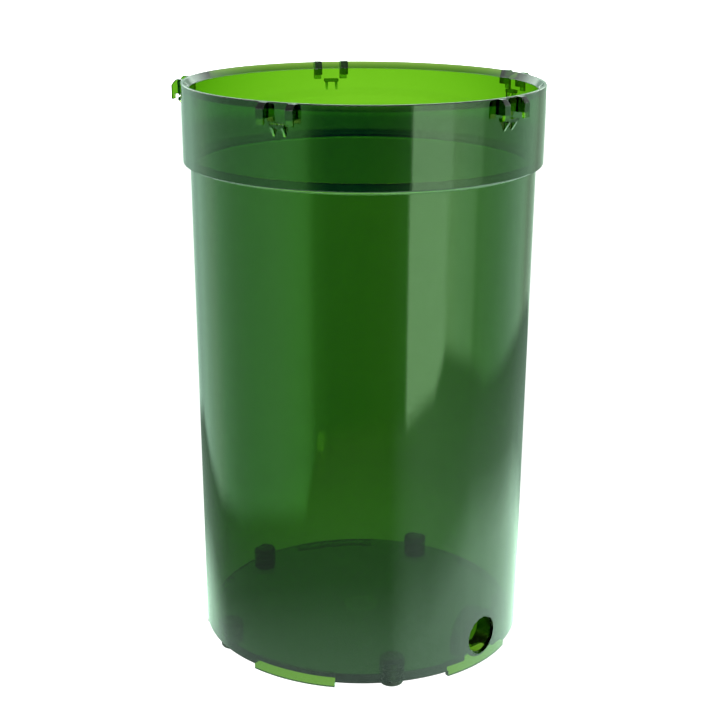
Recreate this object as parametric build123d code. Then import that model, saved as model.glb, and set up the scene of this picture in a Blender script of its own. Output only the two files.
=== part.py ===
from build123d import *
import math
import os

# Open canister vessel of an aquarium filter, moulded in clear green plastic, on five rubber feet.
# Millimetres. +Z is up, the vessel's axis is Z, and the origin is the point on that axis that is
# level with the bottoms of the feet. The inlet bore faces -Y.

# ---- driving dimensions ------------------------------------------------------------------------
OVERALL_HEIGHT = 290.4
FOOT_DROP = 3.4            # the feet hold the floor this far above the surface they stand on
DRAFT_DEG = 0.5            # mould draft of the outer and inner walls

# wall and floor
BASE_RADIUS = 84.0         # outside of the wall, level with the underside of the floor
WALL = 2.7
FLOOR_THICKNESS = 4.1

# collar at the mouth, which takes the filter's head
COLLAR_RADIUS = 90.0       # outside, at the rim
COLLAR_HEIGHT = 39.1
COLLAR_BORE_RADIUS = 86.3  # seat of the head's sealing ring
LEDGE_WEB = 3.4            # thickness of the step between the wall and the collar
BEVEL_HEIGHT = 3.4         # lead-in bevel inside the rim
RIM_LAND = 1.5             # flat width left on top of the rim
RIM_ROUND = 0.5
SHOULDER_ROUND = 0.9       # lower outer edge of the collar
LEDGE_ROUND = 1.0          # lower inner edge of the collar bore

# features that repeat round the axis
REPEATS = 5
LUG_START_DEG = -90.0      # the first pair of hooks stands over the inlet
FOOT_START_DEG = -54.0     # the feet stand midway between the hooks

# clip hooks: a pair of blocks at the rim, and a bracket under each pair
HOOK_WIDTH = 4.0
HOOK_SPACING = 14.6        # centre to centre, across the pair
HOOK_REACH = 5.0           # from the collar's outside to the face of the hook
HOOK_TOP_FLAT = 2.6        # flat top before the chamfer starts
HOOK_CHAMFER_DROP = 2.6
HOOK_BODY_HEIGHT = 7.1     # solid part above the notch
HOOK_LIP_HEIGHT = 9.7      # down to the tip of the lip
HOOK_LIP_THICKNESS = 1.6
BRACKET_WIDTH = 7.8
BRACKET_REACH = 3.0
BRACKET_TOP = 9.4          # below the rim
SHELF_THICKNESS = 1.6
GUSSET_THICKNESS = 1.2
GUSSET_SPACING = 5.4
GUSSET_HEIGHT = 4.2
ROOT = 1.2                 # how far a moulded-on piece starts inside the wall

# skirts under the floor
SKIRT_DROP = 3.0
SKIRT_ARC_DEG = 31.2
SKIRT_GROOVE_WIDTH = 3.0
SKIRT_GROOVE_DEPTH = 1.9

# foot sockets and rubber feet
FOOT_RING_RADIUS = 77.4
SOCKET_RADIUS = 6.4
SOCKET_HEIGHT = 11.5       # above the underside of the floor
SOCKET_BORE_RADIUS = 4.6
SOCKET_BORE_DEPTH = 9.0
SOCKET_ROUND = 1.2
STEM_RADIUS = 4.5
STEM_HEIGHT = 8.4
STEM_ROUND = 0.8
RIB_RADIUS = 4.75          # two ribs on each stem grip the socket
RIB_HEIGHT = 0.8
RIB_LEVELS = (2.4, 5.4)    # above the underside of the floor
PAD_RADIUS = 6.0
PAD_ROUND = 1.2

# inlet bore and its boss
INLET_HEIGHT = 12.9        # bore axis above the underside of the floor
INLET_BORE_RADIUS = 9.4
INLET_MOUTH_RADIUS = 10.0
INLET_MOUTH_SEAT = 82.2    # distance of the mouth's seat from the vessel's axis
INLET_TUBE_RADIUS = 11.9
BOSS_RADIUS = 13.4
BOSS_INNER_END = 73.2      # distance of the boss's inner end from the vessel's axis
BOSS_ROOT = 82.3           # the boss starts inside the wall, this far from the axis
POCKET_HALF_WIDTH = 11.0
POCKET_CEILING = 5.2       # above the underside of the floor
POCKET_INNER_END = 75.6
BORE_EDGE_CHAMFER = 0.5

# gate mark in the underside of the floor
GATE_RADIUS = 10.4
GATE_DEPTH = 0.5
GATE_STEP_RADIUS = 6.2
GATE_STEP_HEIGHT = 0.25
GATE_NUB_RADIUS = 1.4

# how solids are cut and edges found
OVERCUT = 1.0              # how far a cut runs past the face that it opens
MATCH = 0.01               # how near an edge's height and radius must be to the ones asked for

# ---- worked-out levels -------------------------------------------------------------------------
BASE_Z = FOOT_DROP
FLOOR_Z = BASE_Z + FLOOR_THICKNESS
RIM_Z = OVERALL_HEIGHT
SHOULDER_Z = RIM_Z - COLLAR_HEIGHT
LEDGE_Z = SHOULDER_Z + LEDGE_WEB
SKIRT_Z = BASE_Z - SKIRT_DROP
DRAFT = math.tan(math.radians(DRAFT_DEG))


def wall_radius(z):
    """Outer radius of the tapered wall at height z."""
    return BASE_RADIUS + (z - BASE_Z) * DRAFT


def collar_radius(z):
    """Outer radius of the tapered collar at height z."""
    return COLLAR_RADIUS - (RIM_Z - z) * DRAFT


def turned(points):
    """Solid of revolution about Z from (radius, z) points."""
    outline = Polyline(*[(r, 0, z) for r, z in points], close=True)
    return revolve(make_face(outline), Axis.Z)


def sector(points, arc_deg, centre_deg):
    """Part of a solid of revolution that spans arc_deg, centred on the direction centre_deg."""
    outline = Polyline(*[(r, 0, z) for r, z in points], close=True)
    body = revolve(make_face(outline), Axis.Z, arc_deg)
    return body.rotate(Axis.Z, centre_deg - arc_deg / 2)


def rounded(body, z, radius, size):
    """Round the circular edge that lies at height z and has the given radius."""
    edges = [
        edge
        for edge in body.edges().filter_by(GeomType.CIRCLE)
        if abs(edge.center(CenterOf.BOUNDING_BOX).Z - z) < MATCH and abs(edge.radius - radius) < MATCH
    ]
    return fillet(edges, size)


def around(start_deg):
    """Directions of the features that repeat round the axis."""
    return [start_deg + index * 360 / REPEATS for index in range(REPEATS)]


def shell():
    """Wall, floor and collar as one turned shape, with a whole ring where the skirts will be."""
    bore_bottom = wall_radius(FLOOR_Z) - WALL
    bore_top = wall_radius(LEDGE_Z) - WALL
    ring_inside = BASE_RADIUS - WALL - SKIRT_GROOVE_WIDTH / 2
    points = [
        (0, BASE_Z),
        (ring_inside, BASE_Z),
        (ring_inside, SKIRT_Z),
        (wall_radius(SKIRT_Z), SKIRT_Z),
        (wall_radius(SHOULDER_Z), SHOULDER_Z),
        (collar_radius(SHOULDER_Z), SHOULDER_Z),
        (collar_radius(RIM_Z), RIM_Z),
        (COLLAR_RADIUS - RIM_LAND, RIM_Z),
        (COLLAR_BORE_RADIUS, RIM_Z - BEVEL_HEIGHT),
        (COLLAR_BORE_RADIUS, LEDGE_Z),
        (bore_top, LEDGE_Z),
        (bore_bottom, FLOOR_Z),
        (0, FLOOR_Z),
    ]
    body = turned(points)
    body = rounded(body, RIM_Z, collar_radius(RIM_Z), RIM_ROUND)
    body = rounded(body, SHOULDER_Z, collar_radius(SHOULDER_Z), SHOULDER_ROUND)
    return rounded(body, LEDGE_Z, COLLAR_BORE_RADIUS, LEDGE_ROUND)


def radial_plate(points, width, offset):
    """Plate of the given width, drawn as (radius, z) points in a radial plane moved by offset."""
    outline = Polyline(*[(r, 0, z) for r, z in points], close=True)
    plate = extrude(make_face(outline), amount=width / 2, dir=(0, 1, 0), both=True)
    return plate.translate((0, offset, 0))


def hook(offset):
    """One clip hook: a block with a chamfered top and a lip that hangs down over a notch."""
    face = COLLAR_RADIUS + HOOK_REACH
    inside = COLLAR_RADIUS - ROOT
    points = [
        (inside, RIM_Z - RIM_ROUND),
        (COLLAR_RADIUS, RIM_Z - RIM_ROUND),
        (COLLAR_RADIUS + RIM_ROUND, RIM_Z),
        (COLLAR_RADIUS + HOOK_TOP_FLAT, RIM_Z),
        (face, RIM_Z - HOOK_CHAMFER_DROP),
        (face, RIM_Z - HOOK_LIP_HEIGHT),
        (face - HOOK_LIP_THICKNESS, RIM_Z - HOOK_LIP_HEIGHT),
        (face - HOOK_LIP_THICKNESS, RIM_Z - HOOK_BODY_HEIGHT),
        (inside, RIM_Z - HOOK_BODY_HEIGHT),
    ]
    return radial_plate(points, HOOK_WIDTH, offset)


def bracket():
    """Small shelf under a pair of hooks, held up by two triangular gussets."""
    shelf_top = RIM_Z - BRACKET_TOP
    shelf_bottom = shelf_top - SHELF_THICKNESS
    face = COLLAR_RADIUS + BRACKET_REACH
    inside = COLLAR_RADIUS - ROOT
    shelf = radial_plate(
        [(inside, shelf_top), (face, shelf_top), (face, shelf_bottom), (inside, shelf_bottom)],
        BRACKET_WIDTH,
        0,
    )
    gusset = [
        (inside, shelf_bottom),
        (face, shelf_bottom),
        (collar_radius(shelf_bottom), shelf_bottom - GUSSET_HEIGHT),
        (inside, shelf_bottom - GUSSET_HEIGHT),
    ]
    for side in (-1, 1):
        shelf += radial_plate(gusset, GUSSET_THICKNESS, side * GUSSET_SPACING / 2)
    return shelf


def clip_lugs():
    """Five pairs of hooks with their brackets, spread round the collar."""
    pieces = []
    for direction in around(LUG_START_DEG):
        for piece in (hook(-HOOK_SPACING / 2), hook(HOOK_SPACING / 2), bracket()):
            pieces.append(piece.rotate(Axis.Z, direction))
    return pieces


def skirt_gaps():
    """What is cut from the ring under the floor to leave the five skirts."""
    arc = 360 / REPEATS - SKIRT_ARC_DEG
    inner = BASE_RADIUS - WALL - SKIRT_GROOVE_WIDTH
    outer = BASE_RADIUS + OVERCUT
    bottom = SKIRT_Z - OVERCUT
    points = [(inner, bottom), (outer, bottom), (outer, BASE_Z), (inner, BASE_Z)]
    return [sector(points, arc, direction) for direction in around(FOOT_START_DEG)]


def skirt_grooves():
    """Relief behind each skirt, cut up into the floor so that the skirt is as thin as the wall."""
    outer = BASE_RADIUS - WALL
    inner = outer - SKIRT_GROOVE_WIDTH
    bottom = SKIRT_Z - OVERCUT
    top = BASE_Z + SKIRT_GROOVE_DEPTH
    points = [(inner, bottom), (outer, bottom), (outer, top), (inner, top)]
    return [sector(points, SKIRT_ARC_DEG, direction) for direction in around(LUG_START_DEG)]


def foot_place(direction_deg):
    """Centre of the foot in the given direction, level with the underside of the floor."""
    angle = math.radians(direction_deg)
    return (FOOT_RING_RADIUS * math.cos(angle), FOOT_RING_RADIUS * math.sin(angle), BASE_Z)


def upright(radius, height):
    """Cylinder that stands on the XY plane."""
    return Cylinder(radius, height, align=(Align.CENTER, Align.CENTER, Align.MIN))


def sockets():
    """Pillars that hold the blind foot sockets."""
    post = upright(SOCKET_RADIUS, SOCKET_HEIGHT)
    post = rounded(post, SOCKET_HEIGHT, SOCKET_RADIUS, SOCKET_ROUND)
    return [post.translate(foot_place(direction)) for direction in around(FOOT_START_DEG)]


def socket_bores():
    """Blind holes that take the stems of the feet."""
    hole = upright(SOCKET_BORE_RADIUS, SOCKET_BORE_DEPTH)
    return [hole.translate(foot_place(direction)) for direction in around(FOOT_START_DEG)]


def inlet_cylinder(radius, near, far):
    """Cylinder on the inlet's axis, between two distances from the vessel's axis."""
    body = Cylinder(radius, far - near, rotation=(90, 0, 0))
    return body.translate((0, -(near + far) / 2, BASE_Z + INLET_HEIGHT))


def inlet_block(half_width, near, far, bottom, top):
    """Upright block that straddles the inlet's axis, between two distances and two heights."""
    body = Box(2 * half_width, far - near, top - bottom)
    return body.translate((0, -(near + far) / 2, (bottom + top) / 2))


def inlet_boss():
    """Arch-shaped boss inside the wall that gives the inlet bore its length."""
    arch = inlet_cylinder(BOSS_RADIUS, BOSS_INNER_END, BOSS_ROOT)
    legs = inlet_block(
        BOSS_RADIUS, BOSS_INNER_END, BOSS_ROOT, FLOOR_Z - ROOT, BASE_Z + INLET_HEIGHT
    )
    tube = inlet_cylinder(INLET_TUBE_RADIUS, BOSS_INNER_END, BOSS_ROOT)
    return [arch - inlet_block(BOSS_RADIUS, BOSS_INNER_END, BOSS_ROOT, 0, FLOOR_Z - ROOT), legs, tube]


def inlet_pocket():
    """Hollow under the inlet's tube, open downwards."""
    hollow = inlet_block(
        POCKET_HALF_WIDTH, POCKET_INNER_END, BASE_RADIUS, SKIRT_Z - OVERCUT, BASE_Z + POCKET_CEILING
    )
    inside_wall = upright(BASE_RADIUS - WALL, OVERALL_HEIGHT)
    tube = inlet_cylinder(INLET_TUBE_RADIUS, BOSS_INNER_END, BASE_RADIUS)
    return (hollow & inside_wall) - tube


def inlet_bore():
    """Through bore of the inlet, with a wider mouth on the outside and a chamfered inner end."""
    end = BOSS_INNER_END + BORE_EDGE_CHAMFER
    through = inlet_cylinder(INLET_BORE_RADIUS, BOSS_INNER_END - OVERCUT, INLET_MOUTH_SEAT)
    mouth = inlet_cylinder(INLET_MOUTH_RADIUS, INLET_MOUTH_SEAT, BASE_RADIUS + 2 * OVERCUT)
    flare = Cone(
        INLET_BORE_RADIUS + 2 * BORE_EDGE_CHAMFER,
        INLET_BORE_RADIUS,
        2 * BORE_EDGE_CHAMFER,
        rotation=(90, 0, 0),
    )
    flare = flare.translate((0, BORE_EDGE_CHAMFER - end, BASE_Z + INLET_HEIGHT))
    return [through, mouth, flare]


def gate_mark():
    """Shallow stepped recess in the middle of the underside, round the stub of the sprue."""
    recess = upright(GATE_RADIUS, GATE_DEPTH) - upright(GATE_STEP_RADIUS, GATE_STEP_HEIGHT)
    recess -= upright(GATE_NUB_RADIUS, GATE_DEPTH)
    return recess.translate((0, 0, BASE_Z))


def canister_vessel():
    """The whole one-piece moulding."""
    body = shell()
    for cut in skirt_gaps() + skirt_grooves():
        body -= cut
    for piece in clip_lugs() + sockets() + inlet_boss():
        body += piece
    for cut in [inlet_pocket(), gate_mark()] + socket_bores() + inlet_bore():
        body -= cut
    return body


def rubber_foot(direction_deg):
    """Round pad with a ribbed stem that plugs up into its socket."""
    pad = upright(PAD_RADIUS, FOOT_DROP)
    pad = rounded(pad, 0, PAD_RADIUS, PAD_ROUND)
    stem = upright(STEM_RADIUS, STEM_HEIGHT)
    stem = rounded(stem, STEM_HEIGHT, STEM_RADIUS, STEM_ROUND)
    body = pad.translate((0, 0, -FOOT_DROP)) + stem
    for level in RIB_LEVELS:
        body += upright(RIB_RADIUS, RIB_HEIGHT).translate((0, 0, level))
    return body.translate(foot_place(direction_deg))


def save(body, name):
    """Write one sub-part to its own file."""
    export_step(body, f"parts/{name}.step")


os.makedirs("parts", exist_ok=True)
save(canister_vessel(), "canister_vessel")
for number, foot_direction in enumerate(around(FOOT_START_DEG), start=1):
    save(rubber_foot(foot_direction), f"rubber_foot_{number}")
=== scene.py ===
"""Clear green filter canister on five rubber feet.

One turned and fused moulding stands for the vessel and five detailed plugs stand for its feet.
Lengths are written in millimetres and turned to metres by MM.
"""
import logging
import math
from dataclasses import dataclass, field
from enum import Enum
from typing import Any, Sequence

import bmesh
import bpy
from mathutils import Matrix, Vector


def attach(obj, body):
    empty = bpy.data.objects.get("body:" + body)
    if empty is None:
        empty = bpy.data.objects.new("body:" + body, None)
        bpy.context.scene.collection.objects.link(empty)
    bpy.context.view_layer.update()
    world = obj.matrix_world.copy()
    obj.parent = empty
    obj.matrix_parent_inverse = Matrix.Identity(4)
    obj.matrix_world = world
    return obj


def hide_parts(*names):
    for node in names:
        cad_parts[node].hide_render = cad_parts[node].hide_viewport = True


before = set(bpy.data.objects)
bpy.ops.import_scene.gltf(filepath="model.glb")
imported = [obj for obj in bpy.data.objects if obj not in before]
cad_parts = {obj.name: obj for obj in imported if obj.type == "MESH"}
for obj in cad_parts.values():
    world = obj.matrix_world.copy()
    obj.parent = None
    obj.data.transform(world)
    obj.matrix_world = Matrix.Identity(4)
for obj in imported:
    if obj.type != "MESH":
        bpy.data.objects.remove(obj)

logging.basicConfig(level=logging.INFO, format="%(name)s: %(message)s")
LOG = logging.getLogger("canister")

MM = 0.001
DRAFT = math.tan(math.radians(0.5))
BODY = "root"
SOLVER = "MANIFOLD"
WELD = 1e-6
LYING_SEGMENTS = 128
Point2 = tuple[float, float]
Corner = tuple[float, float, float]
Level = float | tuple[float, float, float]


class Cut(Enum):
    """What a tool solid does to the solid that it meets."""

    FUSE = "UNION"
    REMOVE = "DIFFERENCE"
    KEEP_COMMON = "INTERSECT"


def linear(hex_colour: str, alpha: float = 1.0) -> tuple[float, float, float, float]:
    """Turn an sRGB hex colour to linear RGBA.

    Args:
        hex_colour: Six hex digits after a hash.
        alpha: Alpha of the result.

    Returns:
        Linear red, green, blue and alpha.
    """
    parts = [int(hex_colour[i:i + 2], 16) / 255 for i in (1, 3, 5)]
    turned = [c / 12.92 if c <= 0.04045 else ((c + 0.055) / 1.055) ** 2.4 for c in parts]
    return turned[0], turned[1], turned[2], alpha


def add_node(tree: bpy.types.NodeTree, kind: str, links: dict[Any, Any] | None = None,
             **settings: Any) -> bpy.types.Node:
    """Add a node, set it up and link its inputs.

    Args:
        tree: Node tree that takes the node.
        kind: Type name of the node.
        links: For each input, by name or number, the socket that feeds it or its plain value.
        settings: Properties of the node.

    Returns:
        The new node.
    """
    node = tree.nodes.new(kind)
    for name, value in settings.items():
        setattr(node, name, value)
    for key, value in (links or {}).items():
        socket = node.inputs[key]
        if isinstance(value, bpy.types.NodeSocket):
            tree.links.new(value, socket)
        else:
            socket.default_value = value
    return node


def rounded_outline(corners: Sequence[Corner], steps: int = 6) -> list[Point2]:
    """Round the corners of an open outline with arcs.

    Args:
        corners: Radius from the axis, height and rounding radius of each corner.
        steps: Segments in each arc.

    Returns:
        Points of the outline, in millimetres.
    """
    points: list[Point2] = []
    for index, (across, up, size) in enumerate(corners):
        here = Vector((across, up))
        if size <= 0 or index in (0, len(corners) - 1):
            points.append((across, up))
            continue
        before = (Vector(corners[index - 1][:2]) - here).normalized()
        after = (Vector(corners[index + 1][:2]) - here).normalized()
        half = before.angle(after) / 2
        centre = here + (before + after).normalized() * (size / math.sin(half))
        start = here + before * (size / math.tan(half)) - centre
        sweep = start.angle_signed(here + after * (size / math.tan(half)) - centre)
        for step in range(steps + 1):
            turn = -sweep * step / steps
            offset = Matrix.Rotation(turn, 2) @ start
            points.append((centre.x + offset.x, centre.y + offset.y))
    return points


def mesh_object(name: str, mesh: bpy.types.Mesh) -> bpy.types.Object:
    """Put a mesh in the scene as an object at the origin."""
    piece = bpy.data.objects.new(name, mesh)
    bpy.context.scene.collection.objects.link(piece)
    return piece


def shape_object(name: str, shape: bmesh.types.BMesh) -> bpy.types.Object:
    """Turn a finished bmesh to an object and free it.

    Args:
        name: Name of the object and its mesh.
        shape: The finished shape.

    Returns:
        The object, at the origin.
    """
    mesh = bpy.data.meshes.new(name)
    shape.to_mesh(mesh)
    shape.free()
    return mesh_object(name, mesh)


def plain_mesh(piece: bpy.types.Object) -> bpy.types.Mesh:
    """Bake an object's modifiers to a plain mesh and clear them.

    Args:
        piece: Object with live modifiers.

    Returns:
        The evaluated mesh, which the object now uses.
    """
    graph = bpy.context.evaluated_depsgraph_get()
    result = bpy.data.meshes.new_from_object(piece.evaluated_get(graph))
    old = piece.data
    piece.modifiers.clear()
    piece.data = result
    bpy.data.meshes.remove(old)
    return result


def use_tree(piece: bpy.types.Object, tree: bpy.types.NodeTree, **inputs: Any) -> None:
    """Run a Geometry Nodes tree on an object and keep the result as a plain mesh.

    Args:
        piece: Object whose mesh feeds the tree.
        tree: Geometry Nodes tree.
        inputs: Values of the tree's named inputs, with underscores for spaces.
    """
    modifier = piece.modifiers.new(tree.name, "NODES")
    modifier.node_group = tree
    for item in tree.interface.items_tree:
        key = item.name.replace(" ", "_")
        if item.item_type == "SOCKET" and item.in_out == "INPUT" and key in inputs:
            modifier[item.identifier] = inputs[key]
    plain_mesh(piece)


def new_tree(name: str, inputs: dict[str, tuple[str, Any]]) -> bpy.types.NodeTree:
    """Start a Geometry Nodes tree.

    Args:
        name: Name of the tree.
        inputs: Socket type and default of each named input after the geometry.

    Returns:
        The tree, with its group input and output nodes named "in" and "out".
    """
    tree = bpy.data.node_groups.new(name, "GeometryNodeTree")
    tree.interface.new_socket("Geometry", in_out="INPUT", socket_type="NodeSocketGeometry")
    tree.interface.new_socket("Geometry", in_out="OUTPUT", socket_type="NodeSocketGeometry")
    for label, (kind, default) in inputs.items():
        socket = tree.interface.new_socket(label, in_out="INPUT", socket_type=kind)
        if default is not None:
            socket.default_value = default
    tree.nodes.new("NodeGroupInput").name = "in"
    tree.nodes.new("NodeGroupOutput").name = "out"
    return tree


def lathe_tree() -> bpy.types.NodeTree:
    """Tree that turns the input's points, drawn in the XZ plane, into a closed round solid.

    Returns:
        Tree with the inputs Points, Segments and Material.
    """
    tree = new_tree("lathe", {
        "Points": ("NodeSocketInt", 10),
        "Segments": ("NodeSocketInt", 360),
        "Material": ("NodeSocketMaterial", None),
    })
    given = tree.nodes["in"].outputs
    columns = add_node(tree, "ShaderNodeMath", {0: given["Segments"], 1: 1.0}, operation="ADD")
    grid = add_node(tree, "GeometryNodeMeshGrid", {
        "Vertices X": given["Points"], "Vertices Y": columns.outputs[0]})
    index = add_node(tree, "GeometryNodeInputIndex")
    ratio = add_node(tree, "ShaderNodeMath", {0: index.outputs[0], 1: columns.outputs[0]},
                     operation="DIVIDE")
    ring = add_node(tree, "ShaderNodeMath", {0: ratio.outputs[0]}, operation="FLOOR")
    column = add_node(tree, "ShaderNodeMath", {0: index.outputs[0], 1: columns.outputs[0]},
                      operation="MODULO")
    share = add_node(tree, "ShaderNodeMath", {0: column.outputs[0], 1: given["Segments"]},
                     operation="DIVIDE")
    angle = add_node(tree, "ShaderNodeMath", {0: share.outputs[0], 1: math.tau},
                     operation="MULTIPLY")
    place = add_node(tree, "GeometryNodeInputPosition")
    outline = add_node(tree, "GeometryNodeSampleIndex", {
        "Geometry": given["Geometry"], "Value": place.outputs[0], "Index": ring.outputs[0]},
        data_type="FLOAT_VECTOR", domain="POINT")
    turned = add_node(tree, "ShaderNodeVectorRotate", {
        "Vector": outline.outputs[0], "Axis": (0.0, 0.0, 1.0), "Angle": angle.outputs[0]},
        rotation_type="AXIS_ANGLE")
    wrapped = add_node(tree, "GeometryNodeSetPosition", {
        "Geometry": grid.outputs["Mesh"], "Position": turned.outputs[0]})
    closed = add_node(tree, "GeometryNodeMergeByDistance", {
        "Geometry": wrapped.outputs[0], "Distance": WELD})
    outward = add_node(tree, "GeometryNodeFlipFaces", {"Mesh": closed.outputs[0]})
    finish_tree(tree, outward.outputs[0])
    return tree


def ring_tree() -> bpy.types.NodeTree:
    """Tree that repeats the input, which stands on +X, round the Z axis.

    Returns:
        Tree with the inputs Count, Start and Material.
    """
    tree = new_tree("ring of copies", {
        "Count": ("NodeSocketInt", 5),
        "Start": ("NodeSocketFloat", 0.0),
        "Material": ("NodeSocketMaterial", None),
    })
    given = tree.nodes["in"].outputs
    points = add_node(tree, "GeometryNodePoints", {
        "Count": given["Count"], "Position": (0.0, 0.0, 0.0)})
    index = add_node(tree, "GeometryNodeInputIndex")
    share = add_node(tree, "ShaderNodeMath", {0: index.outputs[0], 1: given["Count"]},
                     operation="DIVIDE")
    angle = add_node(tree, "ShaderNodeMath", {0: share.outputs[0], 1: math.tau,
                                              2: given["Start"]}, operation="MULTIPLY_ADD")
    spin = add_node(tree, "ShaderNodeCombineXYZ", {"Z": angle.outputs[0]})
    copies = add_node(tree, "GeometryNodeInstanceOnPoints", {
        "Points": points.outputs[0], "Instance": given["Geometry"], "Rotation": spin.outputs[0]})
    real = add_node(tree, "GeometryNodeRealizeInstances", {"Geometry": copies.outputs[0]})
    finish_tree(tree, real.outputs[0])
    return tree


def finish_tree(tree: bpy.types.NodeTree, geometry: bpy.types.NodeSocket) -> None:
    """End a tree in Realize Instances and Set Material.

    Args:
        tree: Tree with a Material input.
        geometry: Socket that carries the finished geometry.
    """
    real = add_node(tree, "GeometryNodeRealizeInstances", {"Geometry": geometry})
    painted = add_node(tree, "GeometryNodeSetMaterial", {
        "Geometry": real.outputs[0], "Material": tree.nodes["in"].outputs["Material"]})
    tree.links.new(painted.outputs[0], tree.nodes["out"].inputs[0])


def turned_solid(name: str, outline: Sequence[Point2], lathe: bpy.types.NodeTree,
                 material: bpy.types.Material, segments: int) -> bpy.types.Object:
    """Turn an outline round the Z axis.

    Args:
        name: Name of the object.
        outline: Radius and height of each point, in millimetres, from axis to axis.
        lathe: The lathe tree.
        material: Material of the solid.
        segments: Faces round the axis.

    Returns:
        The solid's object.
    """
    mesh = bpy.data.meshes.new(name)
    mesh.from_pydata([(r * MM, 0.0, z * MM) for r, z in outline], [], [])
    piece = mesh_object(name, mesh)
    use_tree(piece, lathe, Points=len(outline), Segments=segments, Material=material)
    return piece


def plate(name: str, outline: Sequence[Point2], width: float, offset: float,
          edge: float) -> bpy.types.Object:
    """Upright plate that stands radially, on the +X side, with softened edges.

    Args:
        name: Name of the object.
        outline: Distance from the axis and height of each corner, in millimetres.
        width: Thickness of the plate.
        offset: How far its middle lies from the radial plane.
        edge: Width of the softened edges.

    Returns:
        The plate's object.
    """
    shape = bmesh.new()
    low = [shape.verts.new((r * MM, (offset - width / 2) * MM, z * MM)) for r, z in outline]
    face = shape.faces.new(low)
    grown = bmesh.ops.extrude_face_region(shape, geom=[face])
    moved = [item for item in grown["geom"] if isinstance(item, bmesh.types.BMVert)]
    bmesh.ops.translate(shape, verts=moved, vec=(0.0, width * MM, 0.0))
    bmesh.ops.recalc_face_normals(shape, faces=shape.faces)
    if edge > 0:
        bmesh.ops.bevel(shape, geom=list(shape.edges), offset=edge * MM, segments=2,
                        profile=0.5, affect="EDGES", clamp_overlap=True)
    return shape_object(name, shape)


def lying_cone(name: str, inner: float, outer: float, near: float, far: float,
               height: float) -> bpy.types.Object:
    """Cone or cylinder on the inlet's axis, which points along -Y.

    Args:
        name: Name of the object.
        inner: Radius at the end near the vessel's axis.
        outer: Radius at the far end.
        near: Distance of the inner end from the vessel's axis.
        far: Distance of the outer end.
        height: Height of the inlet's axis.

    Returns:
        The cone's object.
    """
    shape = bmesh.new()
    bmesh.ops.create_cone(shape, cap_ends=True, segments=LYING_SEGMENTS,
                          radius1=inner * MM, radius2=outer * MM, depth=(far - near) * MM)
    turn = Matrix.Rotation(math.radians(90), 4, "X")
    shift = Matrix.Translation((0.0, -(near + far) / 2 * MM, height * MM))
    bmesh.ops.transform(shape, matrix=shift @ turn, verts=shape.verts)
    return shape_object(name, shape)


def block(name: str, low: Sequence[float], high: Sequence[float]) -> bpy.types.Object:
    """Straight-sided block between two corners, as a cutting or filling tool."""
    shape = bmesh.new()
    bmesh.ops.create_cube(shape, size=1.0)
    size = [(h - l) * MM for l, h in zip(low, high)]
    middle = [(h + l) / 2 * MM for l, h in zip(low, high)]
    matrix = Matrix.Translation(middle) @ Matrix.Diagonal((*size, 1.0))
    bmesh.ops.transform(shape, matrix=matrix, verts=shape.verts)
    return shape_object(name, shape)


def work(base: bpy.types.Object, tool: bpy.types.Object, cut: Cut) -> None:
    """Fuse, cut or trim a solid with a tool solid, which is used up.

    Args:
        base: Solid that is changed.
        tool: Solid that changes it.
        cut: What the tool does.
    """
    modifier = base.modifiers.new("work", "BOOLEAN")
    modifier.operation = cut.value
    modifier.solver = SOLVER
    modifier.object = tool
    plain_mesh(base)
    used = tool.data
    bpy.data.objects.remove(tool)
    bpy.data.meshes.remove(used)


def smooth(piece: bpy.types.Object, sharp_deg: float) -> None:
    """Shade a piece smooth, with flat faces left truly flat and its sharper edges left sharp.

    Args:
        piece: Mesh object.
        sharp_deg: Angle between faces past which an edge stays sharp.
    """
    piece.data.shade_smooth()
    piece.data.set_sharp_from_angle(angle=math.radians(sharp_deg))
    weighted = piece.modifiers.new("flat faces", "WEIGHTED_NORMAL")
    weighted.keep_sharp = True
    plain_mesh(piece)


def is_closed(piece: bpy.types.Object) -> bool:
    """Say whether every edge of a mesh joins exactly two faces."""
    shape = bmesh.new()
    shape.from_mesh(piece.data)
    closed = all(edge.is_manifold for edge in shape.edges)
    shape.free()
    return closed


def blank_material(
        name: str) -> tuple[bpy.types.Material, bpy.types.NodeTree, bpy.types.NodeSocket]:
    """Start a material.

    Args:
        name: Name of the material.

    Returns:
        The material, its emptied tree and the socket of a point's place on its object.
    """
    material = bpy.data.materials.new(name)
    material.use_nodes = True
    tree = material.node_tree
    tree.nodes.clear()
    return material, tree, add_node(tree, "ShaderNodeTexCoord").outputs["Object"]


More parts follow.
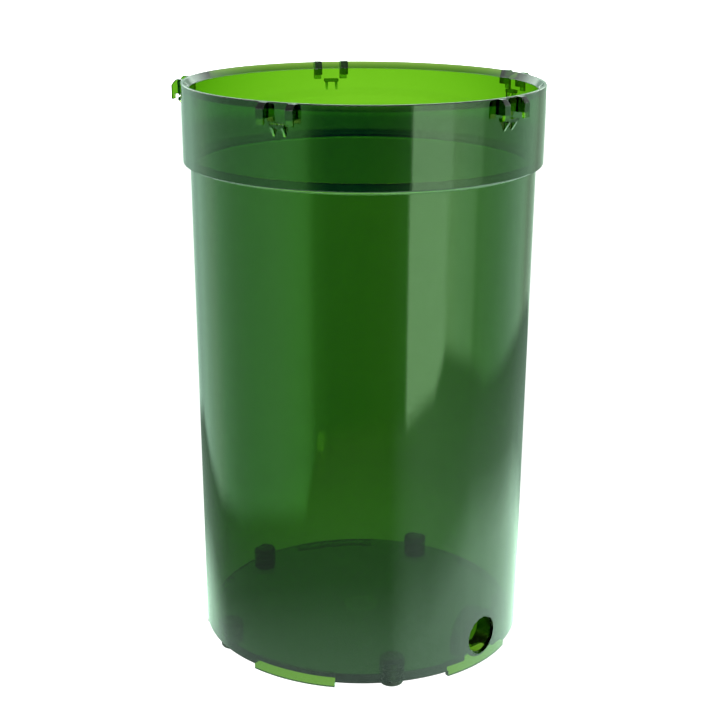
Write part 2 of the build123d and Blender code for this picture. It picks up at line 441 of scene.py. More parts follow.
@dataclass(frozen=True)
class TintedClear:
    """Clear green SAN, injection moulded in a polished tool.

    Gives the eye deep bottle green through two walls, yellow-green through one, sharp bright
    edges, and a hard gloss with faint flow ripples and hairline scratches.
    """

    name: str = "polished_clear_green_SAN"
    pale: str = "#F6FBF1"
    flow: str = "#EDF6E4"
    absorbed: str = "#B7D800"
    absorption_per_metre: float = 1400.0
    ior: float = 1.57
    gloss: float = 0.015
    worn: float = 0.03
    ripple_mm: float = 28.0
    ripple_height_mm: float = 0.04
    ripple_strength: float = 0.2
    scratch_mm: float = 0.9
    scratch_stretch: float = 0.12
    scratch_from: float = 0.68
    scratch_full: float = 0.8

    def build(self) -> bpy.types.Material:
        """Build the material.

        Returns:
            Material with a clear glossy surface and a green body.
        """
        material, tree, place = blank_material(self.name)
        flow = add_node(tree, "ShaderNodeTexNoise", {
            "Vector": place, "Scale": 1 / (self.ripple_mm * MM), "Detail": 1.0})
        tone = add_node(tree, "ShaderNodeMix", {
            "Factor": flow.outputs["Fac"], "A": linear(self.pale), "B": linear(self.flow)},
            data_type="RGBA")
        stretched = add_node(tree, "ShaderNodeMapping", {
            "Vector": place, "Scale": (1.0, 1.0, self.scratch_stretch)})
        scratch = add_node(tree, "ShaderNodeTexNoise", {
            "Vector": stretched.outputs[0], "Scale": 1 / (self.scratch_mm * MM), "Detail": 4.0})
        wear = add_node(tree, "ShaderNodeMapRange", {
            "Value": scratch.outputs["Fac"], "From Min": self.scratch_from,
            "From Max": self.scratch_full, "To Min": self.gloss, "To Max": self.worn})
        bump = add_node(tree, "ShaderNodeBump", {
            "Height": flow.outputs["Fac"], "Strength": self.ripple_strength,
            "Distance": self.ripple_height_mm * MM})
        surface = add_node(tree, "ShaderNodeBsdfPrincipled", {
            "Base Color": tone.outputs["Result"], "Roughness": wear.outputs[0],
            "IOR": self.ior, "Transmission Weight": 1.0, "Normal": bump.outputs[0]})
        body = add_node(tree, "ShaderNodeVolumeAbsorption", {
            "Color": linear(self.absorbed), "Density": self.absorption_per_metre})
        out = add_node(tree, "ShaderNodeOutputMaterial", {"Surface": surface.outputs[0]})
        tree.links.new(body.outputs[0], out.inputs["Volume"])
        return material


@dataclass(frozen=True)
class MouldedRubber:
    """Dark nitrile rubber, compression moulded.

    Gives the eye a soft, near-black matt skin with fine moulding grain and a little dust.
    """

    name: str = "moulded_dark_rubber"
    skin: str = "#1E211E"
    dusty: str = "#3A3F39"
    smoothest: float = 0.54
    roughest: float = 0.74
    ior: float = 1.5
    grain_mm: float = 0.5
    grain_height_mm: float = 0.1
    grain_strength: float = 0.35
    dust_mm: float = 4.0
    dust_from: float = 0.45
    dust_full: float = 0.75

    def build(self) -> bpy.types.Material:
        """Build the material.

        Returns:
            Matt dark rubber.
        """
        material, tree, place = blank_material(self.name)
        dust = add_node(tree, "ShaderNodeTexNoise", {
            "Vector": place, "Scale": 1 / (self.dust_mm * MM), "Detail": 5.0})
        patch = add_node(tree, "ShaderNodeMapRange", {
            "Value": dust.outputs["Fac"], "From Min": self.dust_from,
            "From Max": self.dust_full})
        tone = add_node(tree, "ShaderNodeMix", {
            "Factor": patch.outputs[0], "A": linear(self.skin), "B": linear(self.dusty)},
            data_type="RGBA")
        grain = add_node(tree, "ShaderNodeTexNoise", {
            "Vector": place, "Scale": 1 / (self.grain_mm * MM), "Detail": 2.0})
        rough = add_node(tree, "ShaderNodeMapRange", {
            "Value": grain.outputs["Fac"], "To Min": self.smoothest, "To Max": self.roughest})
        bump = add_node(tree, "ShaderNodeBump", {
            "Height": grain.outputs["Fac"], "Strength": self.grain_strength,
            "Distance": self.grain_height_mm * MM})
        surface = add_node(tree, "ShaderNodeBsdfPrincipled", {
            "Base Color": tone.outputs["Result"], "Roughness": rough.outputs[0],
            "IOR": self.ior, "Normal": bump.outputs[0]})
        add_node(tree, "ShaderNodeOutputMaterial", {"Surface": surface.outputs[0]})
        return material


@dataclass(frozen=True)
class LitPaper:
    """Matt white sweep paper that glows with its own emission, as if a table lit it from below and
    behind.

    Gives the eye a plain white floor with only a breath of shadow, a painted pool of light that
    makes it a little brighter under the object, and its brightest glow far off, where the sweep
    meets its background light. It is clear from behind, so that the object's underside can be
    looked at.
    """

    name: str = "white_sweep_paper"
    colour: str = "#7E7E7E"
    # Painted pool of light: the paper's own emission is raised under the object and falls to the
    # plain glow further out.
    painted_pool_glow: float = 1.15
    glow: float = 0.9
    far_glow: float = 2.75
    painted_pool_mm: tuple[float, float] = (130.0, 240.0)
    far_mm: tuple[float, float] = (2030.0, 2190.0)
    roughness: float = 0.9

    def build(self) -> bpy.types.Material:
        """Build the material.

        Returns:
            White paper with a soft glow.
        """
        material, tree, place = blank_material(self.name)
        distance = add_node(tree, "ShaderNodeVectorMath", {0: place}, operation="LENGTH")
        # The first step is a painted pool of light under the object. The second brightens the
        # paper far off.
        steps = []
        for (start, end), low, high in ((self.painted_pool_mm, self.painted_pool_glow, self.glow),
                                        (self.far_mm, 0.0, self.far_glow - self.glow)):
            step = add_node(tree, "ShaderNodeMapRange", {
                "Value": distance.outputs["Value"], "From Min": start * MM,
                "From Max": end * MM, "To Min": low, "To Max": high},
                interpolation_type="SMOOTHSTEP")
            steps.append(step.outputs[0])
        total = add_node(tree, "ShaderNodeMath", {0: steps[0], 1: steps[1]}, operation="ADD")
        surface = add_node(tree, "ShaderNodeBsdfPrincipled", {
            "Base Color": linear(self.colour), "Roughness": self.roughness,
            "Emission Color": linear("#FFFFFF"), "Emission Strength": total.outputs[0]})
        rear = add_node(tree, "ShaderNodeNewGeometry").outputs["Backfacing"]
        open_below = add_node(tree, "ShaderNodeBsdfTransparent")
        sheet = add_node(tree, "ShaderNodeMixShader", {
            0: rear, 1: surface.outputs[0], 2: open_below.outputs[0]})
        add_node(tree, "ShaderNodeOutputMaterial", {"Surface": sheet.outputs[0]})
        return material


@dataclass
class Vessel:
    """The one-piece vessel: turned shell with hooks, sockets, skirts and inlet fused on."""

    height: float = 290.4
    base_z: float = 3.4
    base_radius: float = 84.0
    wall: float = 2.7
    floor: float = 4.1
    collar_radius: float = 90.0
    collar_height: float = 39.1
    collar_bore: float = 86.3
    ledge_web: float = 3.4
    bevel: float = 3.4
    rim_land: float = 1.5
    under_collar_round: float = 1.6
    shoulder_round: float = 0.9
    rim_round: float = 0.5
    seat_round: float = 0.8
    ledge_round: float = 1.0
    throat_round: float = 0.5
    floor_round: float = 0.6
    repeats: int = 5
    lug_start: float = -90.0
    foot_start: float = -54.0
    hook_width: float = 4.0
    hook_spacing: float = 14.6
    hook_reach: float = 5.0
    hook_ease: float = 0.4
    hook_flat: float = 2.6
    hook_drop: float = 2.6
    hook_body: float = 7.1
    hook_lip: float = 9.7
    lip_thickness: float = 1.6
    bracket_width: float = 7.8
    bracket_reach: float = 3.0
    bracket_top: float = 9.4
    shelf: float = 1.6
    shelf_edge: float = 0.2
    gusset: float = 1.2
    gusset_spacing: float = 5.4
    gusset_height: float = 4.2
    gusset_overlap: float = 0.6
    gusset_back: float = 0.2
    gusset_edge: float = 0.15
    root: float = 1.2
    skirt_drop: float = 3.0
    skirt_arc: float = 31.2
    groove_width: float = 3.0
    groove_depth: float = 1.9
    foot_ring: float = 77.4
    socket_radius: float = 6.4
    socket_height: float = 11.5
    socket_bore: float = 4.6
    socket_depth: float = 9.0
    socket_round: float = 1.2
    socket_ease: float = 0.4
    inlet_up: float = 12.9
    inlet_bore: float = 9.4
    inlet_mouth: float = 10.0
    mouth_seat: float = 82.2
    mouth_taper: float = 0.05
    mouth_flare: float = 0.45
    mouth_past: float = 2.4
    seat_overlap: float = 0.1
    flare: float = 0.5
    tube_radius: float = 11.9
    boss_radius: float = 13.4
    boss_end: float = 73.2
    boss_root: float = 82.3
    pocket_half: float = 11.0
    pocket_ceiling: float = 5.2
    pocket_end: float = 75.6
    gate_radius: float = 10.4
    gate_depth: float = 0.5
    gate_step: float = 6.2
    gate_step_depth: float = 0.25
    gate_nub: float = 1.4
    edge: float = 0.3
    segments: int = 360
    gate_segments: int = 120
    post_segments: int = 64
    sharp_deg: float = 32.0
    over: float = 1.0
    skin: float = 0.01
    lathe: bpy.types.NodeTree = field(default_factory=lathe_tree)
    ring: bpy.types.NodeTree = field(default_factory=ring_tree)

    def wall_at(self, z: float) -> float:
        """Outer radius of the wall at a height."""
        return self.base_radius + (z - self.base_z) * DRAFT

    def collar_at(self, z: float) -> float:
        """Outer radius of the collar at a height."""
        return self.collar_radius - (self.height - z) * DRAFT

    def turn(self, name: str, outline: Sequence[Point2], material: bpy.types.Material,
             segments: int = 0) -> bpy.types.Object:
        """Turn an outline with this vessel's lathe tree.

        Args:
            name: Name of the solid.
            outline: Radius and height of each point.
            material: Material of the solid.
            segments: Faces round the axis, or 0 for the vessel's own number.

        Returns:
            The solid's object.
        """
        return turned_solid(name, outline, self.lathe, material, segments or self.segments)

    def shell(self, material: bpy.types.Material) -> bpy.types.Object:
        """Turn the wall, floor and collar, with a whole ring where the skirts will be.

        Args:
            material: Material of the vessel.

        Returns:
            The turned shell.
        """
        floor_z = self.base_z + self.floor
        skirt_z = self.base_z - self.skirt_drop
        shoulder_z = self.height - self.collar_height
        ledge_z = shoulder_z + self.ledge_web
        ring_inside = self.base_radius - self.wall - self.groove_width / 2
        middle = (floor_z + ledge_z) / 2
        corners: list[Corner] = [
            (0, self.base_z, 0),
            (ring_inside, self.base_z, 0),
            (ring_inside, skirt_z, 0),
            (self.wall_at(skirt_z), skirt_z, self.edge),
            (self.wall_at(middle), middle, 0),
            (self.wall_at(shoulder_z), shoulder_z, self.under_collar_round),
            (self.collar_at(shoulder_z), shoulder_z, self.shoulder_round),
            (self.collar_at(self.height), self.height, self.rim_round),
            (self.collar_radius - self.rim_land, self.height, self.edge),
            (self.collar_bore, self.height - self.bevel, self.seat_round),
            (self.collar_bore, ledge_z, self.ledge_round),
            (self.wall_at(ledge_z) - self.wall, ledge_z, self.throat_round),
            (self.wall_at(middle) - self.wall, middle, 0),
            (self.wall_at(floor_z) - self.wall, floor_z, self.floor_round),
            (0, floor_z, 0),
        ]
        return self.turn("vessel", rounded_outline(corners), material)

    def skirt_cuts(self, material: bpy.types.Material) -> list[bpy.types.Object]:
        """Make what is cut from the ring under the floor to leave five skirts with grooves.

        Args:
            material: Material of the vessel.

        Returns:
            Tools that leave the gaps and the grooves.
        """
        groove_out = self.base_radius - self.wall
        groove_in = groove_out - self.groove_width
        bottom = self.base_z - self.skirt_drop - self.over
        gap = [(groove_in, bottom), (self.base_radius + self.over, bottom),
               (self.base_radius + self.over, self.base_z), (groove_in, self.base_z)]
        groove = [(groove_in, bottom), (groove_out, bottom),
                  (groove_out, self.base_z + self.groove_depth),
                  (groove_in, self.base_z + self.groove_depth)]
        arc = 360 / self.repeats
        return [
            self.repeated(self.sector("gaps", gap, arc - self.skirt_arc), self.foot_start,
                          material),
            self.repeated(self.sector("grooves", groove, self.skirt_arc), self.lug_start,
                          material),
        ]

    def sector(self, name: str, outline: Sequence[Point2], arc: float) -> bpy.types.Object:
        """Part of a turned solid, centred on the +X side.

        Args:
            name: Name of the solid.
            outline: Radius and height of each corner of its section.
            arc: Angle that it spans, in degrees.

        Returns:
            The solid's object.
        """
        shape = bmesh.new()
        steps = max(8, round(arc))
        rows = []
        for step in range(steps + 1):
            angle = math.radians(arc * (step / steps - 0.5))
            rows.append([shape.verts.new((r * MM * math.cos(angle), r * MM * math.sin(angle),
                                          z * MM)) for r, z in outline])
        count = len(outline)
        for first, second in zip(rows, rows[1:]):
            for i in range(count):
                j = (i + 1) % count
                shape.faces.new((first[i], first[j], second[j], second[i]))
        shape.faces.new(rows[0])
        shape.faces.new(rows[-1])
        bmesh.ops.recalc_face_normals(shape, faces=shape.faces)
        return shape_object(name, shape)

    def repeated(self, piece: bpy.types.Object, start: float,
                 material: bpy.types.Material) -> bpy.types.Object:
        """Repeat a piece round the axis with the ring tree.

        Args:
            piece: Piece that stands on the +X side.
            start: Direction of the first copy, in degrees.
            material: Material of the copies.

        Returns:
            The same object, now holding every copy.
        """
        use_tree(piece, self.ring, Count=self.repeats, Start=math.radians(start),
                 Material=material)
        return piece

    def lug_tools(self, material: bpy.types.Material) -> list[bpy.types.Object]:
        """Make the clip hooks and the brackets, each repeated round the collar.

        Args:
            material: Material of the vessel.

        Returns:
            Solids that are fused on.
        """
        top = self.height
        inside = self.collar_radius - self.root
        face = self.collar_radius + self.hook_reach
        behind = face - self.lip_thickness
        hook = [
            (inside, top - self.root), (self.collar_radius, top - self.hook_ease),
            (self.collar_radius + self.hook_ease, top),
            (self.collar_radius + self.hook_flat, top),
            (face, top - self.hook_drop), (face, top - self.hook_lip),
            (behind, top - self.hook_lip), (behind, top - self.hook_body),
            (inside, top - self.hook_body),
        ]
        shelf_top = top - self.bracket_top
        shelf_low = shelf_top - self.shelf
        reach = self.collar_radius + self.bracket_reach
        foot_z = shelf_low - self.gusset_height
        shelf = [(inside, shelf_top), (reach, shelf_top), (reach, shelf_low),
                 (inside, shelf_low)]
        gusset_top = shelf_low + self.gusset_overlap
        gusset_out = reach - self.gusset_back
        gusset = [(inside, gusset_top), (gusset_out, gusset_top), (gusset_out, shelf_low),
                  (self.collar_at(foot_z), foot_z), (inside, foot_z)]
        tools = []
        for side in (-1, 1):
            offset = side * self.hook_spacing / 2
            tools.append(plate("hook", hook, self.hook_width, offset, self.edge))
        tools.append(plate("shelf", shelf, self.bracket_width, 0.0, self.shelf_edge))
        for side in (-1, 1):
            offset = side * self.gusset_spacing / 2
            tools.append(plate("gusset", gusset, self.gusset, offset, self.gusset_edge))
        return [self.repeated(tool, self.lug_start, material) for tool in tools]

    def moved_post(self, name: str, outline: Sequence[Point2],
                   material: bpy.types.Material) -> bpy.types.Object:
        """Turn a small post, move it to the foot circle and repeat it.

        Args:
            name: Name of the solid.
            outline: Radius and height of each point.
            material: Material of the posts.

        Returns:
            Object that holds every post.
        """
        post = self.turn(name, outline, material, self.post_segments)
        post.data.transform(Matrix.Translation((self.foot_ring * MM, 0.0, 0.0)))
        return self.repeated(post, self.foot_start, material)

    def socket_post(self, material: bpy.types.Material) -> bpy.types.Object:
        """Make the pillars that hold the foot sockets."""
        top = self.base_z + self.socket_height
        low = self.base_z + self.floor - self.root
        outline = rounded_outline([(0, low, 0), (self.socket_radius, low, 0),
                                   (self.socket_radius, top, self.socket_round),
                                   (0, top, 0)])
        return self.moved_post("sockets", outline, material)

    def socket_hole(self, material: bpy.types.Material) -> bpy.types.Object:
        """Make the blind holes for the stems of the feet."""
        top = self.base_z + self.socket_depth
        low = self.base_z - self.over
        ease = self.socket_ease
        outline = rounded_outline([(0, low, 0), (self.socket_bore + ease + self.over, low, 0),
                                   (self.socket_bore + ease, self.base_z, 0),
                                   (self.socket_bore, self.base_z + ease, 0),
                                   (self.socket_bore, top, ease), (0, top, 0)])
        return self.moved_post("socket_holes", outline, material)

    def inlet_adds(self) -> list[bpy.types.Object]:
        """Make the arch-shaped boss behind the inlet.

        Returns:
            Solids that are fused on.
        """
        axis = self.base_z + self.inlet_up
        low = self.base_z + self.floor - self.root
        arch = lying_cone("boss", self.boss_radius, self.boss_radius, self.boss_end,
                          self.boss_root, axis)
        far = self.collar_radius
        below = block("below", (-far, -far, -far), (far, 0, low))
        work(arch, below, Cut.REMOVE)
        legs = block("legs", (-self.boss_radius, -self.boss_root, low),
                     (self.boss_radius, -self.boss_end, axis))
        tube = lying_cone("tube", self.tube_radius, self.tube_radius,
                          self.boss_end + self.skin, self.boss_root - self.skin, axis)
        return [arch, legs, tube]

    def inlet_cuts(self, material: bpy.types.Material) -> list[bpy.types.Object]:
        """Make what is cut for the inlet's bore, its mouth and the hollow under it.

        Args:
            material: Material of the vessel.

        Returns:
            Tools that are cut away.
        """
        axis = self.base_z + self.inlet_up
        skirt_z = self.base_z - self.skirt_drop
        pocket = block("pocket", (-self.pocket_half, -self.base_radius, skirt_z - self.over),
                       (self.pocket_half, -self.pocket_end, self.base_z + self.pocket_ceiling))
        inside = self.base_radius - self.wall
        low, high = skirt_z - 2 * self.over, axis + self.tube_radius
        column = self.turn("column", [(0, low), (inside, low), (inside, high), (0, high)],
                           material)
        work(pocket, column, Cut.KEEP_COMMON)
        tube = lying_cone("tube", self.tube_radius, self.tube_radius,
                          self.boss_end - self.over, self.base_radius + self.over, axis)
        work(pocket, tube, Cut.REMOVE)
        through = lying_cone("through", self.inlet_bore, self.inlet_bore,
                             self.boss_end - self.over, self.mouth_seat + self.seat_overlap,
                             axis)
        mouth = lying_cone("mouth", self.inlet_mouth - self.mouth_taper,
                           self.inlet_mouth + self.mouth_flare, self.mouth_seat,
                           self.base_radius + self.mouth_past, axis)
        flare = lying_cone("flare", self.inlet_bore + 2 * self.flare, self.inlet_bore - self.flare,
                           self.boss_end - self.flare, self.boss_end + 2 * self.flare, axis)
        return [pocket, through, mouth, flare]

    def gate_cut(self, material: bpy.types.Material) -> bpy.types.Object:
        """Make the stepped recess of the gate in the underside.

        Args:
            material: Material of the vessel.

        Returns:
            Tool that is cut away.
        """
        low = self.base_z - self.over
        step = self.base_z + self.gate_step_depth
        deep = self.base_z + self.gate_depth
        outline = [(self.gate_nub, low), (self.gate_radius, low),
                   (self.gate_radius, self.base_z), (self.gate_radius - self.gate_depth, deep),
                   (self.gate_step, deep), (self.gate_step - self.gate_step_depth, step),
                   (self.gate_nub, step)]
        return self.turn("gate", [*outline, outline[0]], material, self.gate_segments)

    def build(self, material: bpy.types.Material) -> bpy.types.Object:
        """Build the whole moulding as one closed mesh.

        Args:
            material: Material of the vessel.

        Returns:
            The vessel's object.
        """
        body = self.shell(material)
        for tool in self.skirt_cuts(material):
            work(body, tool, Cut.REMOVE)
        for tool in [*self.lug_tools(material), self.socket_post(material), *self.inlet_adds()]:
            work(body, tool, Cut.FUSE)
        cuts = [*self.inlet_cuts(material), self.socket_hole(material),
                self.gate_cut(material)]
        for tool in cuts:
            work(body, tool, Cut.REMOVE)
        body.data.materials.clear()
        body.data.materials.append(material)
        smooth(body, self.sharp_deg)
        return body


@dataclass
class RubberFeet:
    """Five plugs: a round pad under the floor and a ribbed stem in each socket."""

    ring_radius: float = 77.4
    start: float = -54.0
    count: int = 5
    base_z: float = 3.4
    pad_radius: float = 6.0
    stem_radius: float = 4.5
    stem_height: float = 8.4
    rib_radius: float = 4.75
    rib_height: float = 0.8
    rib_slope: float = 0.2
    rib_round: float = 0.1
    ribs: tuple[float, ...] = (2.4, 5.4)
    dimple_depth: float = 0.35
    dimple_radius: float = 2.6
    dimple_rim: float = 3.2
    pad_round: float = 1.2
    tip_round: float = 0.8
    ease: float = 0.3
    round_steps: int = 4
    segments: int = 72
    sharp_deg: float = 40.0

    def outline(self) -> list[Point2]:
        """Section of one foot, from the bottom of its pad to the top of its stem.

        Returns:
            Radius and height of each point.
        """
        top = self.base_z + self.stem_height
        corners: list[Corner] = [
            (0, self.dimple_depth, 0), (self.dimple_radius, self.dimple_depth, self.ease),
            (self.dimple_rim, 0.0, self.ease), (self.pad_radius, 0.0, self.pad_round),
            (self.pad_radius, self.base_z, self.ease), (self.stem_radius, self.base_z, 0)]
        for level in self.ribs:
            low = self.base_z + level
            high = low + self.rib_height
            corners += [(self.stem_radius, low, 0),
                        (self.rib_radius, low + self.rib_slope, self.rib_round),
                        (self.rib_radius, high - self.rib_slope, self.rib_round),
                        (self.stem_radius, high, 0)]
        corners += [(self.stem_radius, top, self.tip_round), (0, top, 0)]
        return rounded_outline(corners, self.round_steps)

    def build(self, lathe: bpy.types.NodeTree,
              material: bpy.types.Material) -> list[bpy.types.Object]:
        """Turn the feet and put each one in its place.

        Args:
            lathe: The lathe tree.
            material: Material of the feet.

        Returns:
            The five feet.
        """
        feet = []
        for number in range(self.count):
            foot = turned_solid(f"foot_plug_{number + 1}", self.outline(), lathe, material,
                                self.segments)
            angle = math.radians(self.start + number * 360 / self.count)
            place = (self.ring_radius * MM * math.cos(angle),
                     self.ring_radius * MM * math.sin(angle), 0.0)
            foot.data.transform(Matrix.Translation(place))
            smooth(foot, self.sharp_deg)
            feet.append(foot)
        return feet


# The studio that the glossy wall mirrors. PANELS gives the colour of the upright panels by the
# degrees round from the front, and PANEL_EDGE how many degrees below the horizon they end. Under
# them lies the table: its glow by the degrees below the horizon, TABLE_GLOW, is read a little
# further down by TABLE_LIFT, and is scaled by TABLE_STRENGTH and raised by TABLE_BASE by the
# degrees round. TABLE_TINT colours it. DOME is the ceiling, by the degrees below the horizon.
PANELS = [(-180, (0.6, 0.9, 0.7)), (-150, (0.6, 0.95, 0.75)), (-138, (0.85, 1.4, 1.05)),
          (-120, (0.82, 1.42, 0.93)), (-108, (0.6, 1.25, 0.7)), (-95, (0.46, 1.02, 0.53)),
          (-80, (0.42, 1.08, 0.48)), (-60, (0.48, 1.3, 0.52)), (-44, (0.45, 1.43, 0.44)),
          (-37, (0.36, 1.2, 0.34)), (-31, (0.1, 0.35, 0.15)), (-22, (0.01, 0.03, 0.1)),
          (0, (0.0, 0.0, 0.085)), (18, (0.05, 0.1, 0.1)), (29, (0.15, 0.35, 0.2)),
          (31, (2.1, 3.6, 2.0)), (55, (2.1, 3.7, 1.98)), (58.5, (1.5, 2.8, 1.35)),
          (68, (1.25, 2.5, 1.2)), (77, (1.0, 2.1, 0.95)), (81, (0.6, 1.4, 0.57)),
          (98, (0.58, 1.28, 0.62)), (120, (0.75, 1.38, 0.87)), (132, (0.75, 1.3, 0.85)),
          (143, (0.48, 0.72, 0.5)), (180, (0.6, 0.9, 0.7))]
PANEL_EDGE = [(-180, 19.0), (-150, 19.5), (-135, 21.5), (-120, 23.0), (-95, 24.0), (-40, 24.3),
              (-30, 21.5), (25, 20.8), (31, 20.8), (40, 20.2), (50, 19.6), (58, 17.8), (66, 18.0),
              (80, 18.2), (92, 18.8), (108, 18.2), (125, 17.0), (140, 16.0), (155, 15.0),
              (180, 17.0)]
TABLE_LIFT = [(-180, 3.0), (-150, 3.5), (-140, 3.0), (-125, 1.0), (-115, 0.0), (20, 0.0),
              (31, 0.5), (50, 1.0), (60, 2.0), (71, 3.0), (84, 4.5), (115, 5.5), (135, 6.5),
              (150, 6.0), (180, 3.0)]
TABLE_STRENGTH = [(-180, 1.2), (-125, 1.35), (-110, 1.1), (-90, 1.0), (20, 1.0), (50, 1.4),
                  (71, 1.6), (84, 1.8), (180, 1.6)]
TABLE_BASE = [(-180, 0.02), (-40, 0.0), (19, 0.0), (30, 0.28), (38, 0.38), (50, 0.35),
              (60, 0.25), (80, 0.1), (180, 0.02)]
TABLE_GLOW = [(0, 0.06), (15, 0.06), (20, 0.09), (22, 0.14), (24, 0.18), (26, 0.26), (27, 0.31),
              (28, 0.52), (29, 0.78), (30, 1.0), (33, 1.1), (45, 1.2)]
TABLE_TINT = (0.85, 1.3, 1.0)
DOME = [(-90, (0.3, 0.3, 0.3)), (-45, (0.35, 0.35, 0.35)), (-24, (1.3, 1.5, 1.35)),
        (-17, (2.3, 2.9, 2.5)), (10, (2.3, 2.9, 2.5))]


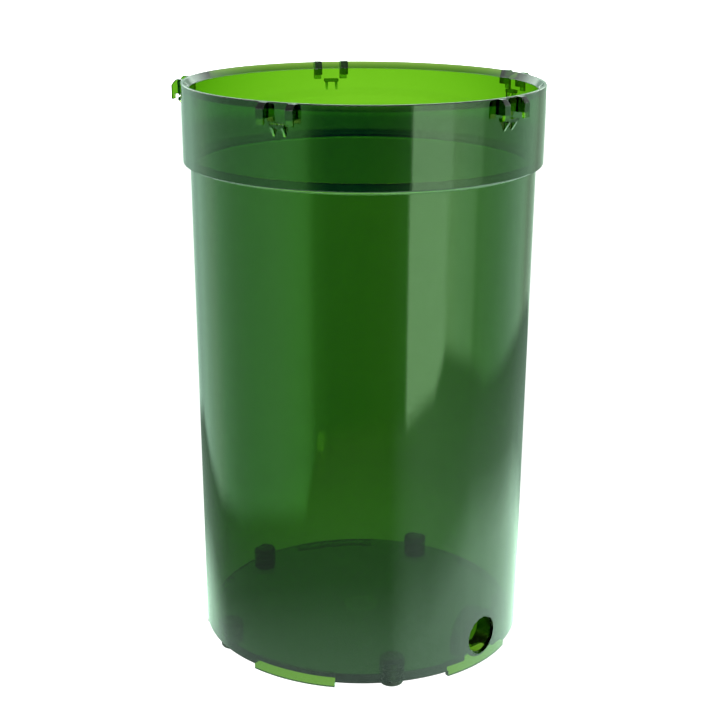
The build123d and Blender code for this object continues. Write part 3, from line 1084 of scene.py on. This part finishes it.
@dataclass
class Studio:
    """White sweep, soft light and the camera, which looks along the azimuth."""

    azimuth: float = -47.4
    camera_back: float = 739.128
    camera_side: float = -1.183
    camera_up: float = 377.95
    pitch: float = 17.4387
    roll: float = 0.25
    lens: float = 74.0635
    sensor: float = 36.0
    nearest: float = 0.01
    farthest: float = 50.0
    floor_radius: float = 20000.0
    floor_segments: int = 128
    floor_gap: float = 0.1
    edge_blur: float = 0.7
    dome_from: float = -12.0
    dome_to: float = -6.0
    bounces: int = 24

    def camera(self) -> bpy.types.Object:
        """Set up the camera.

        Returns:
            The scene's camera.
        """
        turn = Matrix.Rotation(math.radians(self.azimuth), 4, "Z")
        place = turn @ Vector((self.camera_side, -self.camera_back, self.camera_up)) * MM
        data = bpy.data.cameras.new("camera")
        data.lens = self.lens
        data.sensor_width = self.sensor
        data.clip_start = self.nearest
        data.clip_end = self.farthest
        camera = bpy.data.objects.new("camera", data)
        bpy.context.scene.collection.objects.link(camera)
        tilt = Matrix.Rotation(math.radians(90.0 - self.pitch), 4, "X")
        roll = Matrix.Rotation(math.radians(self.roll), 4, "Z")
        camera.matrix_world = Matrix.Translation(place) @ turn @ tilt @ roll
        bpy.context.scene.camera = camera
        return camera

    def floor(self, material: bpy.types.Material) -> bpy.types.Object:
        """Lay the round sheet of paper.

        Args:
            material: Material of the paper.

        Returns:
            The floor's object.
        """
        shape = bmesh.new()
        bmesh.ops.create_circle(shape, cap_ends=True, segments=self.floor_segments,
                                radius=self.floor_radius * MM)
        bmesh.ops.translate(shape, verts=shape.verts, vec=(0.0, 0.0, -self.floor_gap * MM))
        piece = shape_object("sweep", shape)
        piece.data.materials.append(material)
        piece.visible_glossy = False
        return piece

    def curve(self, tree: bpy.types.NodeTree, factor: bpy.types.NodeSocket,
              stops: Sequence[tuple[float, Level]]) -> bpy.types.NodeSocket:
        """Read a level or a colour from a curve of straight runs.

        Args:
            tree: The world's tree.
            factor: Socket with the value that the curve is read at.
            stops: Value, and level or linear red, green and blue, of each point.

        Returns:
            Socket with the level or colour.
        """
        low, high = stops[0][0], stops[-1][0]
        place = add_node(tree, "ShaderNodeMapRange", {
            "Value": factor, "From Min": low, "From Max": high})
        ramp = add_node(tree, "ShaderNodeValToRGB", {"Fac": place.outputs[0]})
        colours = [level if isinstance(level, tuple) else (level,) * 3 for _, level in stops]
        most = max(max(colour) for colour in colours)
        points = ramp.color_ramp.elements
        while len(points) < len(stops):
            points.new(0.5)
        for point, (where, _), colour in zip(points, stops, colours):
            point.position = (where - low) / (high - low)
            point.color = (*[part / most for part in colour], 1.0)
        scaled = add_node(tree, "ShaderNodeVectorMath", {0: ramp.outputs["Color"], "Scale": most},
                          operation="SCALE")
        return scaled.outputs["Vector"]

    def blend(self, tree: bpy.types.NodeTree, value: bpy.types.NodeSocket, start: float,
              end: float, first: bpy.types.NodeSocket,
              second: bpy.types.NodeSocket) -> bpy.types.NodeSocket:
        """Go smoothly from one colour to another.

        Args:
            tree: The world's tree.
            value: Socket that says how far.
            start: Value up to which the first colour holds.
            end: Value from which the second holds.
            first: First colour.
            second: Second colour.

        Returns:
            Socket with the colour.
        """
        share = add_node(tree, "ShaderNodeMapRange", {
            "Value": value, "From Min": start, "From Max": end},
            interpolation_type="SMOOTHSTEP")
        mixed = add_node(tree, "ShaderNodeMix", {
            "Factor": share.outputs[0], 4: first, 5: second}, data_type="VECTOR")
        return mixed.outputs[1]

    def world(self) -> None:
        """Set up the soft light: a white dome, and the panels and table that the wall mirrors."""
        world = bpy.data.worlds.new("studio")
        bpy.context.scene.world = world
        world.use_nodes = True
        tree = world.node_tree
        tree.nodes.clear()
        direction = add_node(tree, "ShaderNodeTexCoord").outputs["Generated"]
        turned = add_node(tree, "ShaderNodeVectorRotate", {
            "Vector": direction, "Axis": (0.0, 0.0, 1.0), "Angle": math.radians(-self.azimuth)},
            rotation_type="AXIS_ANGLE")
        axes = add_node(tree, "ShaderNodeSeparateXYZ", {0: turned.outputs[0]}).outputs
        front = add_node(tree, "ShaderNodeMath", {0: axes[1], 1: -1.0}, operation="MULTIPLY")
        angle = add_node(tree, "ShaderNodeMath", {0: axes[0], 1: front.outputs[0]},
                         operation="ARCTAN2")
        side = add_node(tree, "ShaderNodeMath", {0: angle.outputs[0]}, operation="DEGREES")
        sine = add_node(tree, "ShaderNodeMath", {0: axes[2], 1: -1.0}, operation="MULTIPLY")
        dip = add_node(tree, "ShaderNodeMath", {0: sine.outputs[0]}, operation="ARCSINE")
        below = add_node(tree, "ShaderNodeMath", {0: dip.outputs[0]}, operation="DEGREES")
        down = below.outputs[0]
        panels = self.curve(tree, side.outputs[0], PANELS)
        edge = self.curve(tree, side.outputs[0], PANEL_EDGE)
        lift = self.curve(tree, side.outputs[0], TABLE_LIFT)
        strength = self.curve(tree, side.outputs[0], TABLE_STRENGTH)
        base = self.curve(tree, side.outputs[0], TABLE_BASE)
        nearer = add_node(tree, "ShaderNodeMath", {0: down, 1: lift}, operation="ADD")
        glow = self.curve(tree, nearer.outputs[0], TABLE_GLOW)
        table = add_node(tree, "ShaderNodeVectorMath", {0: glow, 1: strength, 2: base},
                         operation="MULTIPLY_ADD")
        tinted = add_node(tree, "ShaderNodeVectorMath", {0: table.outputs[0], 1: TABLE_TINT},
                          operation="MULTIPLY")
        past = add_node(tree, "ShaderNodeMath", {0: down, 1: edge}, operation="SUBTRACT")
        mirrored = self.blend(tree, past.outputs[0], -self.edge_blur, self.edge_blur, panels,
                              tinted.outputs[0])
        dome = self.curve(tree, down, DOME)
        light = self.blend(tree, down, self.dome_from, self.dome_to, dome, mirrored)
        lamp = add_node(tree, "ShaderNodeBackground", {"Color": light, "Strength": 1.0})
        add_node(tree, "ShaderNodeOutputWorld", {"Surface": lamp.outputs[0]})

    def build(self) -> None:
        """Set up the camera, the sweep, the light and the picture's tone."""
        self.camera()
        self.floor(LitPaper().build())
        self.world()
        scene = bpy.context.scene
        scene.view_settings.view_transform = "Standard"
        scene.cycles.transmission_bounces = self.bounces
        scene.cycles.max_bounces = self.bounces
        scene.cycles.sampling_pattern = "TABULATED_SOBOL"


def main() -> None:
    """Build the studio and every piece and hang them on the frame."""
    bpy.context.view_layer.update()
    Studio().build()
    vessel = Vessel()
    clear = TintedClear().build()
    body = vessel.build(clear)
    LOG.info("%s: %d faces, closed: %s", body.name, len(body.data.polygons), is_closed(body))
    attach(body, BODY)
    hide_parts("canister_vessel")
    feet = RubberFeet().build(vessel.lathe, MouldedRubber().build())
    for number, foot in enumerate(feet, start=1):
        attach(foot, BODY)
        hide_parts(f"rubber_foot_{number}")
        LOG.info("%s: %d faces, closed: %s", foot.name, len(foot.data.polygons), is_closed(foot))


if __name__ == "__main__":
    main()
